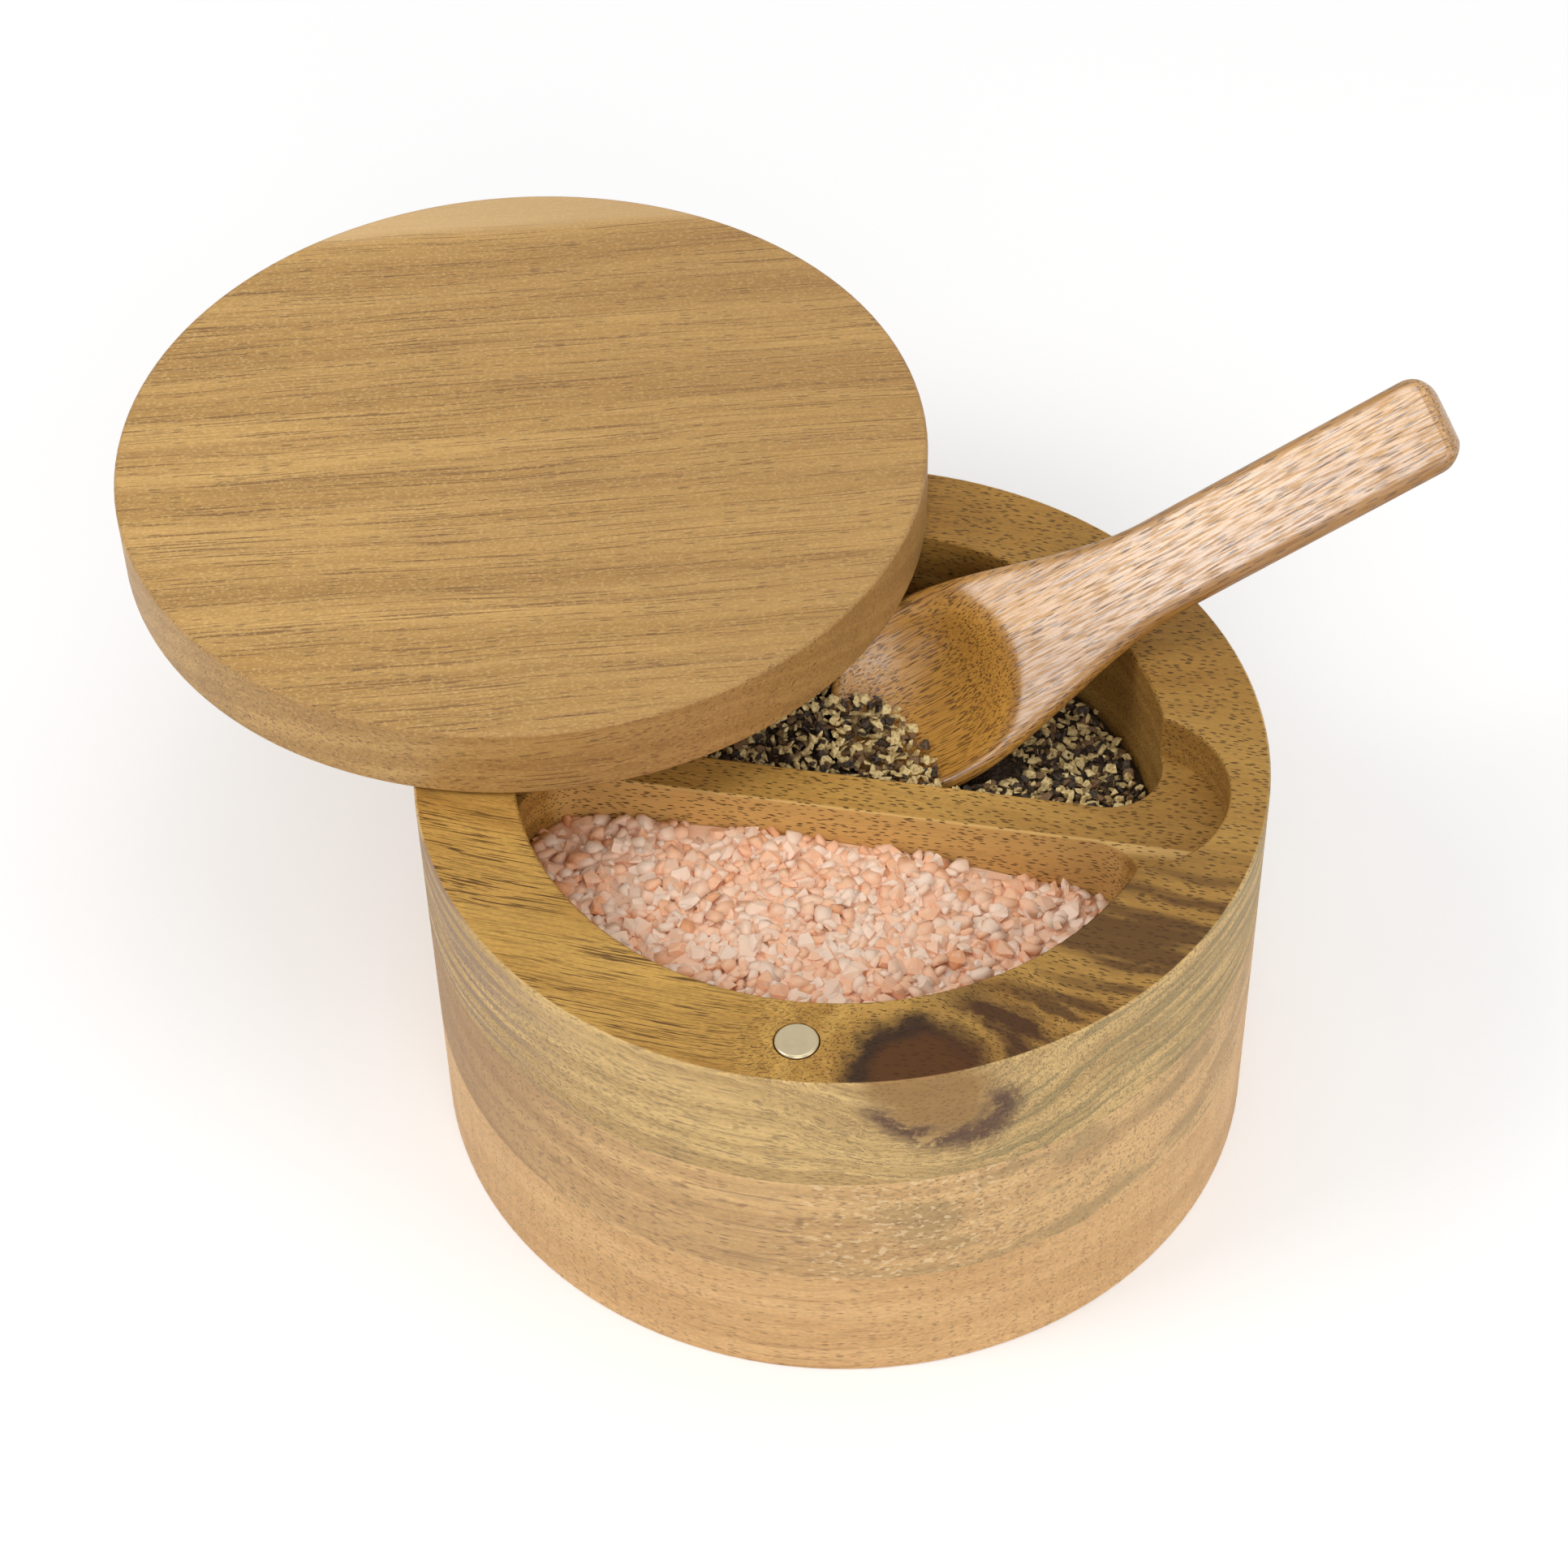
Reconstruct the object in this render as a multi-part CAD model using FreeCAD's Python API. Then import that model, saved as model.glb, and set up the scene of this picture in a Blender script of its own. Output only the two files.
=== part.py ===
"""Round wooden spice cellar: a three-board body with two half-moon compartments,
a swivel lid on a pin with a pair of magnets, a spoon, and its salt and pepper.
Millimetres, +Z up. The origin is the centre of the face that the body stands on,
+X runs along the divider and +Y points to the lid's pivot, at the back."""
import FreeCAD, Part
import math
import os

Vector = FreeCAD.Vector

# Body: three equal boards, glued face to face and turned to one cylinder
BODY_DIAMETER = 120.0
UPPER_BOARD_THICKNESS = 21.3
MIDDLE_BOARD_THICKNESS = 21.3
BASE_BOARD_THICKNESS = 21.3
BODY_EDGE_ROUND = 0.4
POCKET_EDGE_ROUND = 0.4

# Compartments: two half-moons on both sides of a divider
RIM_WALL = 14.0
FLOOR_THICKNESS = 10.0
DIVIDER_THICKNESS = 6.8
POCKET_CORNER_SHARE = 0.174

# Spoon slot: a long recess with round ends, whose floor is the divider's top
SLOT_END_WALL = 5.4
SLOT_SPOON_CLEARANCE = 0.4
SLOT_DEPTH = 8.0

# Lid, drawn shut and then turned to the angle at which it stands open
LID_THICKNESS = 11.7
LID_GAP = 0.4
LID_EDGE_ROUND = 0.6
LID_OPEN_ANGLE = 82.5

# Pivot pin and magnets: opposite each other, in the middle of the rim's width
HARDWARE_TURN = 3.8
PIN_DIAMETER = 5.0
PIN_RADIAL_CLEARANCE = 0.05
PIN_END_CLEARANCE = 0.3
PIN_DEPTH_IN_BODY = 16.0
PIN_DEPTH_IN_LID = 5.0
PIN_END_ROUND = 0.4
MAGNET_DIAMETER = 6.0
MAGNET_THICKNESS = 3.0
MAGNET_RADIAL_CLEARANCE = 0.15
MAGNET_EDGE_ROUND = 0.4
BODY_MAGNET_PROUD = 0.3

# Spoon: a round bowl that tapers into a flat handle with a rounded end
SPOON_LENGTH = 100.0
SPOON_BOWL_WIDTH = 29.8
SPOON_BOWL_HEIGHT = 7.6
SPOON_TIP_HEIGHT = 1.9
SPOON_NECK_LENGTH = 40.0
SPOON_NECK_HEIGHT = 6.3
SPOON_HANDLE_WIDTH = 14.7
SPOON_END_HEIGHT = 5.6
SPOON_END_CORNER = 3.8
SPOON_EDGE_ROUND = 1.3
SPOON_HOLLOW_RIM = 1.5
SPOON_HOLLOW_DEPTH = 5.0

# Spoon at rest: it leans on the rim's inner edge, with its bowl in the pepper
SPOON_REST_ANGLE = 42.0
SPOON_REST_REACH = 32.4
SPOON_REST_CLEARANCE = 0.2
SPOON_HEADING = 18.2
SPOON_TILT = 31.4
SPOON_ROLL = 27.2
SPOON_DRAW_HEADING = -10.0
SPOON_DRAW_TILT = 29.0

# Contents: gently heaped, a little clear of the walls
FILL_WALL_CLEARANCE = 0.15
SALT_DROP = 13.5
SALT_HEAP_X = -9.0
SALT_HEAP_Y = -15.0
SALT_HEAP_RADIUS = 240.0
PEPPER_DROP = 14.0
PEPPER_HEAP_X = -9.0
PEPPER_HEAP_Y = 12.0
PEPPER_HEAP_RADIUS = 300.0
PEPPER_SPOON_CLEARANCE = 1.0

# Every cut runs this far past the face that it opens
CUT_OVERRUN = 2.0

# Heights closer than this are one level
LEVEL_TOLERANCE = 0.002

# Stations along the spoon, as shares of the stretch that each list covers
TIP_SHARES = (0.985, 0.93, 0.80, 0.60, 0.32)
NECK_SHARES = (0.0, 0.2, 0.4, 0.6, 0.8, 1.0)
HANDLE_SHARES = (0.3, 0.65)
END_SHARES = (0.0, 0.5, 0.8, 0.95, 1.0)
SECTION_EDGE_SHARE = 0.45

BODY_RADIUS = BODY_DIAMETER / 2
BODY_HEIGHT = BASE_BOARD_THICKNESS + MIDDLE_BOARD_THICKNESS + UPPER_BOARD_THICKNESS
POCKET_RADIUS = BODY_RADIUS - RIM_WALL
POCKET_CORNER_RADIUS = POCKET_RADIUS * POCKET_CORNER_SHARE
HARDWARE_RADIUS = BODY_RADIUS - RIM_WALL / 2
SLOT_LENGTH = BODY_DIAMETER - 2 * SLOT_END_WALL
SLOT_WIDTH = SPOON_BOWL_WIDTH + 2 * SLOT_SPOON_CLEARANCE
SLOT_FLOOR = BODY_HEIGHT - SLOT_DEPTH
LID_RADIUS = BODY_RADIUS
LID_UNDERSIDE = BODY_HEIGHT + LID_GAP
UP = Vector(0, 0, 1)


def polar(radius, degrees, height):
    """Point at a radius and an angle from +X, at a height."""
    angle = math.radians(degrees)
    return Vector(radius * math.cos(angle), radius * math.sin(angle), height)


def heading_vector(heading, tilt):
    """Unit vector that points to a heading from +X and rises by a tilt."""
    flat = math.cos(math.radians(tilt))
    return polar(flat, heading, math.sin(math.radians(tilt)))


PIVOT = polar(HARDWARE_RADIUS, 90 + HARDWARE_TURN, 0)
MAGNET = polar(HARDWARE_RADIUS, HARDWARE_TURN - 90, 0)


def rounded_disc(radius, low, high, edge_round):
    """Upright disc with both rims eased."""
    disc = Part.makeCylinder(radius, high - low, Vector(0, 0, low))
    rims = [e for e in disc.Edges if isinstance(e.Curve, Part.Circle)]
    return disc.makeFillet(edge_round, rims)


def at_level(edge, height):
    """Whether an edge lies flat at a height."""
    return all(abs(vertex.Z - height) < LEVEL_TOLERANCE for vertex in edge.Vertexes)


def plain_board(low, high):
    """One board of the body as a plain disc."""
    return Part.makeCylinder(BODY_RADIUS, high - low, Vector(0, 0, low))


def eased_board(low, high, eased_level):
    """One board of the body, with its outer edge eased at the level where it shows."""
    disc = plain_board(low, high)
    return disc.makeFillet(BODY_EDGE_ROUND, [e for e in disc.Edges if at_level(e, eased_level)])


def half_moon(side, inset, low, high):
    """Prism of one compartment, on the side +1 or -1, drawn in by an inset."""
    arc_radius = POCKET_RADIUS - inset
    chord = DIVIDER_THICKNESS / 2 + inset
    corner = POCKET_CORNER_RADIUS - inset
    centre_y = chord + corner
    centre_x = math.sqrt((arc_radius - corner) ** 2 - centre_y ** 2)
    centre = Vector(centre_x, centre_y, 0)
    outward = Vector(centre).normalize()
    middle = centre + (outward - Vector(0, 1, 0)).normalize() * corner
    foot = Vector(centre_x, chord, 0)
    shoulder = outward * arc_radius

    def place(point, flip):
        return Vector(flip * point.x, side * point.y, low)

    edges = [
        Part.LineSegment(place(foot, -1), place(foot, 1)),
        Part.Arc(place(foot, 1), place(middle, 1), place(shoulder, 1)),
        Part.Arc(place(shoulder, 1), Vector(0, side * arc_radius, low), place(shoulder, -1)),
        Part.Arc(place(shoulder, -1), place(middle, -1), place(foot, -1)),
    ]
    wire = Part.Wire([edge.toShape() for edge in edges])
    return Part.Face(wire).extrude(Vector(0, 0, high - low))


def spoon_slot():
    """Recess along the divider with half-round ends, open at the top."""
    radius = SLOT_WIDTH / 2
    reach = SLOT_LENGTH / 2 - radius
    depth = SLOT_DEPTH + CUT_OVERRUN
    floor = Vector(0, 0, SLOT_FLOOR)
    box = Part.makeBox(2 * reach, SLOT_WIDTH, depth, floor + Vector(-reach, -radius, 0))
    ends = [Part.makeCylinder(radius, depth, floor + Vector(side * reach, 0, 0)) for side in (-1, 1)]
    return box.fuse(ends).removeSplitter()


def upright_bore(place, diameter, clearance, low, high):
    """Round hole about a vertical axis."""
    return Part.makeCylinder(diameter / 2 + clearance, high - low, Vector(place.x, place.y, low))


def round_piece(place, diameter, low, high, edge_round):
    """Round bar or disc about a vertical axis, with eased ends."""
    piece = rounded_disc(diameter / 2, low, high, edge_round)
    piece.translate(Vector(place.x, place.y, 0))
    return piece


def opened(shape):
    """Turn a piece of the shut lid to its place on the open lid."""
    turned = shape.copy()
    turned.rotate(PIVOT, UP, -LID_OPEN_ANGLE)
    return turned


def make_boards():
    """The three boards of the body, with the compartments cut through the stack."""
    base_top = BASE_BOARD_THICKNESS
    middle_top = base_top + MIDDLE_BOARD_THICKNESS
    pockets = [half_moon(side, 0, FLOOR_THICKNESS, BODY_HEIGHT + CUT_OVERRUN) for side in (-1, 1)]
    base = eased_board(0, base_top, 0).cut(pockets)
    middle = plain_board(base_top, middle_top).cut(pockets)
    upper = eased_board(middle_top, BODY_HEIGHT, BODY_HEIGHT).cut(pockets + [spoon_slot()])
    upper = ease_pocket_edges(upper)
    magnet_floor = BODY_HEIGHT + BODY_MAGNET_PROUD - MAGNET_THICKNESS
    over_top = BODY_HEIGHT + CUT_OVERRUN
    upper = upper.cut([
        upright_bore(PIVOT, PIN_DIAMETER, PIN_RADIAL_CLEARANCE, BODY_HEIGHT - PIN_DEPTH_IN_BODY, over_top),
        upright_bore(MAGNET, MAGNET_DIAMETER, MAGNET_RADIAL_CLEARANCE, magnet_floor, over_top),
    ])
    return upper, middle, base


def ease_pocket_edges(board):
    """Ease the hand-felt edges: round the compartments and slot at the top, and along the divider."""
    def on_outer_wall(edge):
        far = max(math.hypot(v.X, v.Y) for v in edge.Vertexes)
        return far > BODY_RADIUS - BODY_EDGE_ROUND - LEVEL_TOLERANCE

    def under_slot_wall(edge):
        circle = isinstance(edge.Curve, Part.Circle)
        return circle and abs(edge.Curve.Radius - SLOT_WIDTH / 2) < LEVEL_TOLERANCE

    top_edges = [e for e in board.Edges if at_level(e, BODY_HEIGHT) and not on_outer_wall(e)]
    floor_edges = [e for e in board.Edges if at_level(e, SLOT_FLOOR) and not under_slot_wall(e)]
    return board.makeFillet(POCKET_EDGE_ROUND, top_edges + floor_edges)


def make_lid():
    """The lid with its blind pin hole and magnet seat, both from below."""
    lid = rounded_disc(LID_RADIUS, LID_UNDERSIDE, LID_UNDERSIDE + LID_THICKNESS, LID_EDGE_ROUND)
    below = LID_UNDERSIDE - CUT_OVERRUN
    pin_hole_top = LID_UNDERSIDE + PIN_DEPTH_IN_LID + PIN_END_CLEARANCE
    return opened(lid.cut([
        upright_bore(PIVOT, PIN_DIAMETER, PIN_RADIAL_CLEARANCE, below, pin_hole_top),
        upright_bore(MAGNET, MAGNET_DIAMETER, MAGNET_RADIAL_CLEARANCE, below, LID_UNDERSIDE + MAGNET_THICKNESS),
    ]))


def spoon_frame():
    """Placement of the spoon: its X along the handle, Z out of the bowl, origin at the bowl's centre."""
    along = heading_vector(SPOON_HEADING, SPOON_TILT)
    level = polar(1, SPOON_HEADING + 90, 0)
    lifted = along.cross(level)
    roll = math.radians(SPOON_ROLL)
    across = level * math.cos(roll) + lifted * math.sin(roll)
    normal = along.cross(across)
    neck_half_width = spoon_half_width(SPOON_REST_REACH)
    corner_drop = spoon_height(SPOON_REST_REACH) * normal.z + neck_half_width * across.z
    rest = polar(POCKET_RADIUS, SPOON_REST_ANGLE, BODY_HEIGHT + SPOON_REST_CLEARANCE + corner_drop)
    origin = rest - along * SPOON_REST_REACH
    return FreeCAD.Placement(FreeCAD.Matrix(
        along.x, across.x, normal.x, origin.x,
        along.y, across.y, normal.y, origin.y,
        along.z, across.z, normal.z, origin.z))


def ease(share):
    """Smooth step from 0 to 1."""
    share = min(max(share, 0), 1)
    return share * share * (3 - 2 * share)


def spoon_half_width(along):
    """Half the spoon's width at a distance from the bowl's centre, positive to the handle."""
    bowl = SPOON_BOWL_WIDTH / 2
    handle = SPOON_HANDLE_WIDTH / 2
    if along < 0:
        return math.sqrt(bowl ** 2 - along ** 2)
    end = SPOON_LENGTH - bowl
    past = max(along - (end - SPOON_END_CORNER), 0)
    corner_loss = SPOON_END_CORNER - math.sqrt(max(SPOON_END_CORNER ** 2 - past ** 2, 0))
    return handle + (bowl - handle) * (1 - ease(along / SPOON_NECK_LENGTH)) - corner_loss


def spoon_height(along):
    """Depth of the spoon below its flat top at a distance from the bowl's centre."""
    bowl = SPOON_BOWL_WIDTH / 2
    if along < 0:
        return SPOON_TIP_HEIGHT + (SPOON_BOWL_HEIGHT - SPOON_TIP_HEIGHT) * (1 - (along / bowl) ** 2)
    neck = SPOON_BOWL_HEIGHT + (SPOON_NECK_HEIGHT - SPOON_BOWL_HEIGHT) * ease(along / SPOON_NECK_LENGTH)
    handle_share = max(along - SPOON_NECK_LENGTH, 0) / (SPOON_LENGTH - bowl - SPOON_NECK_LENGTH)
    return neck + (SPOON_END_HEIGHT - SPOON_NECK_HEIGHT) * handle_share


def spoon_section(along):
    """Cross-section: flat top, rounded upper edges and a bellied underside."""
    half = spoon_half_width(along)
    height = spoon_height(along)
    edge = min(SPOON_EDGE_ROUND, SECTION_EDGE_SHARE * half, SECTION_EDGE_SHARE * height)
    bend = edge * (1 - math.sqrt(0.5))
    left, right = Vector(along, -half, -edge), Vector(along, half, -edge)
    top_left, top_right = Vector(along, edge - half, 0), Vector(along, half - edge, 0)
    edges = [
        Part.LineSegment(top_left, top_right),
        Part.Arc(top_right, Vector(along, half - bend, -bend), right),
        Part.Arc(right, Vector(along, 0, -height), left),
        Part.Arc(left, Vector(along, bend - half, -bend), top_left),
    ]
    return Part.Wire([e.toShape() for e in edges])


def make_spoon():
    """The spoon: one smooth body along its length, with the bowl hollowed out."""
    bowl = SPOON_BOWL_WIDTH / 2
    straight_end = SPOON_LENGTH - bowl - SPOON_END_CORNER
    handle_run = straight_end - SPOON_NECK_LENGTH
    stations = [-bowl * share for share in TIP_SHARES]
    stations += [SPOON_NECK_LENGTH * share for share in NECK_SHARES]
    stations += [SPOON_NECK_LENGTH + handle_run * share for share in HANDLE_SHARES]
    stations += [straight_end + SPOON_END_CORNER * share for share in END_SHARES]
    blank = Part.makeLoft([spoon_section(along) for along in stations], True, False)
    mouth = bowl - SPOON_HOLLOW_RIM
    ball_radius = (mouth ** 2 + SPOON_HOLLOW_DEPTH ** 2) / (2 * SPOON_HOLLOW_DEPTH)
    ball = Part.makeSphere(ball_radius, Vector(0, 0, ball_radius - SPOON_HOLLOW_DEPTH))
    spoon = blank.cut(ball)
    spoon.Placement = spoon_frame()
    return spoon


def heap(side, drop, heap_x, heap_y, heap_radius):
    """Contents of one compartment with a gently domed top."""
    prism = half_moon(side, FILL_WALL_CLEARANCE, FLOOR_THICKNESS, BODY_HEIGHT)
    dome = Part.makeSphere(heap_radius, Vector(heap_x, heap_y, BODY_HEIGHT - drop - heap_radius))
    return prism.common(dome)


def spoon_swath():
    """Room that the spoon's bowl needs in the pepper while it is drawn out."""
    frame = spoon_frame()
    draw = heading_vector(SPOON_DRAW_HEADING, SPOON_DRAW_TILT)
    normal = frame.Rotation.multVec(UP)
    wide = draw.cross(normal).normalize()
    half_width = SPOON_BOWL_WIDTH / 2 + PEPPER_SPOON_CLEARANCE
    half_depth = SPOON_BOWL_HEIGHT + PEPPER_SPOON_CLEARANCE
    start = frame.Base - draw * half_width
    deep = wide.cross(draw)
    oval = Part.Ellipse(start + wide * half_width, start + deep * half_depth, start)
    face = Part.Face(Part.Wire(oval.toShape()))
    return face.extrude(draw * BODY_DIAMETER)


def make_parts():
    """Every piece of the cellar under the name of its node."""
    upper, middle, base = make_boards()
    pin_low = BODY_HEIGHT - PIN_DEPTH_IN_BODY
    pin_high = LID_UNDERSIDE + PIN_DEPTH_IN_LID
    body_magnet_top = BODY_HEIGHT + BODY_MAGNET_PROUD
    lid_magnet_top = LID_UNDERSIDE + MAGNET_THICKNESS
    lid_magnet = round_piece(MAGNET, MAGNET_DIAMETER, LID_UNDERSIDE, lid_magnet_top, MAGNET_EDGE_ROUND)
    pepper = heap(1, PEPPER_DROP, PEPPER_HEAP_X, PEPPER_HEAP_Y, PEPPER_HEAP_RADIUS)
    return {
        "base_board": base,
        "middle_board": middle,
        "upper_board": upper,
        "body_magnet": round_piece(
            MAGNET, MAGNET_DIAMETER, body_magnet_top - MAGNET_THICKNESS, body_magnet_top, MAGNET_EDGE_ROUND),
        "pivot_pin": round_piece(PIVOT, PIN_DIAMETER, pin_low, pin_high, PIN_END_ROUND),
        "lid": make_lid(),
        "lid_magnet": opened(lid_magnet),
        "spoon": make_spoon(),
        "salt_fill": heap(-1, SALT_DROP, SALT_HEAP_X, SALT_HEAP_Y, SALT_HEAP_RADIUS),
        "pepper_fill": pepper.cut(spoon_swath()),
    }


os.makedirs("parts", exist_ok=True)
for node, shape in make_parts().items():
    if not shape.isValid():
        raise ValueError(f"{node} is not a valid solid")
    shape.exportStep(f"parts/{node}.step")
    box = shape.BoundBox
    print(node, len(shape.Solids), round(shape.Volume, 1),
          [round(v, 2) for v in (box.XMin, box.YMin, box.ZMin, box.XMax, box.YMax, box.ZMax)])
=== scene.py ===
import math
import random

import bmesh
import bpy
from mathutils import Euler, Matrix, Vector


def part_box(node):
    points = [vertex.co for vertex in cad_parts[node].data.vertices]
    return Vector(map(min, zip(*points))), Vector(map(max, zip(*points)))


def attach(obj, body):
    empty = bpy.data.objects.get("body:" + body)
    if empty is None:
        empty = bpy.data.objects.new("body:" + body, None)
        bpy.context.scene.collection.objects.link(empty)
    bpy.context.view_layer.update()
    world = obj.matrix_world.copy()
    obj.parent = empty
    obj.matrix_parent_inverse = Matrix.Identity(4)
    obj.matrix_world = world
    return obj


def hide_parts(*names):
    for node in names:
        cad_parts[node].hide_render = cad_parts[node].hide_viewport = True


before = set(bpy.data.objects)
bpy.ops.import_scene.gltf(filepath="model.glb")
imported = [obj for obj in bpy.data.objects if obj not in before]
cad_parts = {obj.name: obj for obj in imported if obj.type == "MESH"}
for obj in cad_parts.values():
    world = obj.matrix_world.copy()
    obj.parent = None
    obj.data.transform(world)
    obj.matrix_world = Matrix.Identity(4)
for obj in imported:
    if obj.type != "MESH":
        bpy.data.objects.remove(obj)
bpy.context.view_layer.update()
bpy.context.scene.view_settings.view_transform = "Standard"


# The base board: the lowest of three acacia discs, glued face to face and turned as one.
# It is a pinkish tan with short fine pores, and its upper face is the compartments' floor.
BASE_PALE = (0.78, 0.48, 0.215)
BASE_DEEP = (0.66, 0.385, 0.16)
BASE_LINE = (0.47, 0.26, 0.11)
BASE_PORE = (0.30, 0.155, 0.065)
BOARD_ROUGHNESS = 0.52
PORE_EDGES = (0.36, 0.20)
PORE_SOFTNESS = 0.04
SWAY_SPANS = (60, 40, 28)
THREAD_SPANS = (8, 0.34, 0.34)
SPECK_SPANS = (0.7, 0.4, 0.4)
THREAD_TONE = 0.5
SPECK_TONE = 0.4
THREAD_ROUGHNESS = 0.3
THREAD_HEIGHT = 0.4


class Tone:
    """A socket of a material's nodes that takes part in Python arithmetic."""

    def __init__(self, tree, socket):
        self.tree = tree
        self.socket = socket

    def node(self, kind, settings, inputs, output=0):
        """Add a node: its settings first, then the values or links of its sockets."""
        made = self.tree.nodes.new("ShaderNode" + kind)
        for name, value in settings.items():
            setattr(made, name, value)
        for name, value in inputs.items():
            if isinstance(value, Tone):
                self.tree.links.new(value.socket, made.inputs[name])
            else:
                made.inputs[name].default_value = value
        return Tone(self.tree, made.outputs[output])

    def math(self, operation, *values):
        """Add a Math node over these values, each a number or a link."""
        return self.node("Math", {"operation": operation}, dict(enumerate(values)))

    def __add__(self, other):
        return self.math("ADD", self, other)

    def __sub__(self, other):
        return self.math("SUBTRACT", self, other)

    def __rsub__(self, other):
        return self.math("SUBTRACT", other, self)

    def __mul__(self, other):
        return self.math("MULTIPLY", self, other)

    def __truediv__(self, other):
        return self.math("DIVIDE", self, other)

    __radd__ = __add__
    __rmul__ = __mul__


def new_finish(name):
    """A plain material, and the surface point that its patterns read."""
    material = bpy.data.materials.new(name)
    material.use_nodes = True
    tree = material.node_tree
    source = tree.nodes.new("ShaderNodeTexCoord")
    return material, Tone(tree, source.outputs["Object"])


def measure(point, direction):
    """Millimetres of a surface point along a direction."""
    scaled = 1000 * Vector(direction)
    return point.node("VectorMath", {"operation": "DOT_PRODUCT"}, {0: point, 1: scaled}, "Value")


def rise(value, low, high):
    """Smooth step from 0 at low to 1 at high; low may be the larger."""
    return value.node(
        "MapRange", {"interpolation_type": "SMOOTHSTEP"},
        {"Value": value, "From Min": low, "From Max": high, "To Min": 0.0, "To Max": 1.0})


def mottle(measures, spans, detail=2.0, roughness=0.5):
    """Soft noise about 0.5 over three measures, with features of these spans in millimetres."""
    x, y, z = (part / span for part, span in zip(measures, spans))
    place = x.node("CombineXYZ", {}, {0: x, 1: y, 2: z})
    return place.node(
        "TexNoise", {}, {"Vector": place, "Scale": 1.0, "Detail": detail, "Roughness": roughness})


def tint(under, over, share):
    """Mix of two colours, each a colour or a link."""
    under, over = (c if isinstance(c, Tone) else (*c, 1.0) for c in (under, over))
    return share.node("Mix", {"data_type": "RGBA"}, {0: share, 6: under, 7: over}, 2)


def shade(colour, strength):
    """A colour made lighter or darker all at once."""
    return strength.node(
        "VectorMath", {"operation": "SCALE"}, {0: colour, "Scale": strength}, "Vector")


def pores(wood, length, width, share):
    """Open vessels of the wood: dashes along the fibres, dots on the end grain."""
    fibre, around, through = wood
    place = fibre.node(
        "CombineXYZ", {}, {0: fibre / length, 1: around / width, 2: through / width})
    near = place.node("TexVoronoi", {"feature": "F1"}, {"Vector": place, "Scale": 1.0}, "Distance")
    drawn = Tone(near.tree, near.socket.node.outputs["Color"])
    drawn = drawn.node("SeparateColor", {}, {0: drawn}, "Red")
    return rise(near, *PORE_EDGES) * rise(drawn, 1 - share, 1 + PORE_SOFTNESS - share)


def coat_of(material, colour, roughness, height, depth, **others):
    """Give a shader its colour, its roughness, relief this many millimetres deep, and the rest."""
    tree = material.node_tree
    shader = tree.nodes["Principled BSDF"]
    relief = {"Height": height, "Distance": depth / 1000, "Strength": 1.0}
    inputs = {
        "Base Color": colour, "Roughness": roughness,
        "Normal": height.node("Bump", {}, relief, "Normal"),
        **{name.replace("_", " "): value for name, value in others.items()}}
    for name, value in inputs.items():
        if isinstance(value, Tone):
            tree.links.new(value.socket, shader.inputs[name])
        else:
            shader.inputs[name].default_value = value


def dress(node, material):
    """Give a CAD node its finish."""
    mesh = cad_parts[node].data
    mesh.materials.clear()
    mesh.materials.append(material)


def axes(point):
    """Millimetres of a surface point along X, Y and Z."""
    return [measure(point, axis) for axis in ((1, 0, 0), (0, 1, 0), (0, 0, 1))]


def grain(point, along, tilt, sway, seed):
    """Millimetres along the fibres, around the growth rings and through them."""
    along = Vector(along).normalized()
    side = Vector((-along.y, along.x, 0))
    up = Vector((0, 0, 1))
    fibre = measure(point, along) + seed
    around = measure(point, side * math.cos(tilt) - up * math.sin(tilt))
    through = measure(point, side * math.sin(tilt) + up * math.cos(tilt))
    wander = (mottle((fibre, around, through), SWAY_SPANS) - 0.5) * sway
    return fibre, around + wander, through + wander


def timber(wood, pale, deep, band):
    """Colour of acacia without its lines and pores, and the fibres that also shape its sheen."""
    bands = mottle(wood, (150, 24, band), detail=3.0, roughness=0.6)
    threads = mottle(wood, THREAD_SPANS)
    specks = mottle(wood, SPECK_SPANS, detail=1.0)
    colour = tint(pale, deep, rise(bands, 0.36, 0.64))
    strength = 1 + (threads - 0.5) * THREAD_TONE + (specks - 0.5) * SPECK_TONE
    return shade(colour, strength), threads


def lines(wood, length, width, low, high):
    """Thin dark lines of varied length along the fibres."""
    return rise(mottle(wood, (length, width, width)), low, high)


def oil(material, colour, threads, holes, roughness, depth=0.1, specular=0.3):
    """The sheen of oiled wood, whose fibres stand up a little and whose pores are sunk."""
    coat_of(
        material, colour, roughness + (threads - 0.5) * THREAD_ROUGHNESS,
        threads * THREAD_HEIGHT - holes, depth, Specular_IOR_Level=specular)


base_finish, point = new_finish("base_wood")
wood = grain(point, (1, 0.06, 0), tilt=0.12, sway=4.0, seed=400.0)
colour, threads = timber(wood, BASE_PALE, BASE_DEEP, band=6.0)
veins = lines(wood, length=30, width=0.7, low=0.56, high=0.68)
colour = tint(colour, BASE_LINE, veins * 0.5)
holes = pores(wood, length=2.2, width=0.34, share=0.4)
colour = tint(colour, BASE_PORE, holes * 0.55)
oil(base_finish, colour, threads, holes, BOARD_ROUGHNESS)
dress("base_board", base_finish)


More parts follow.
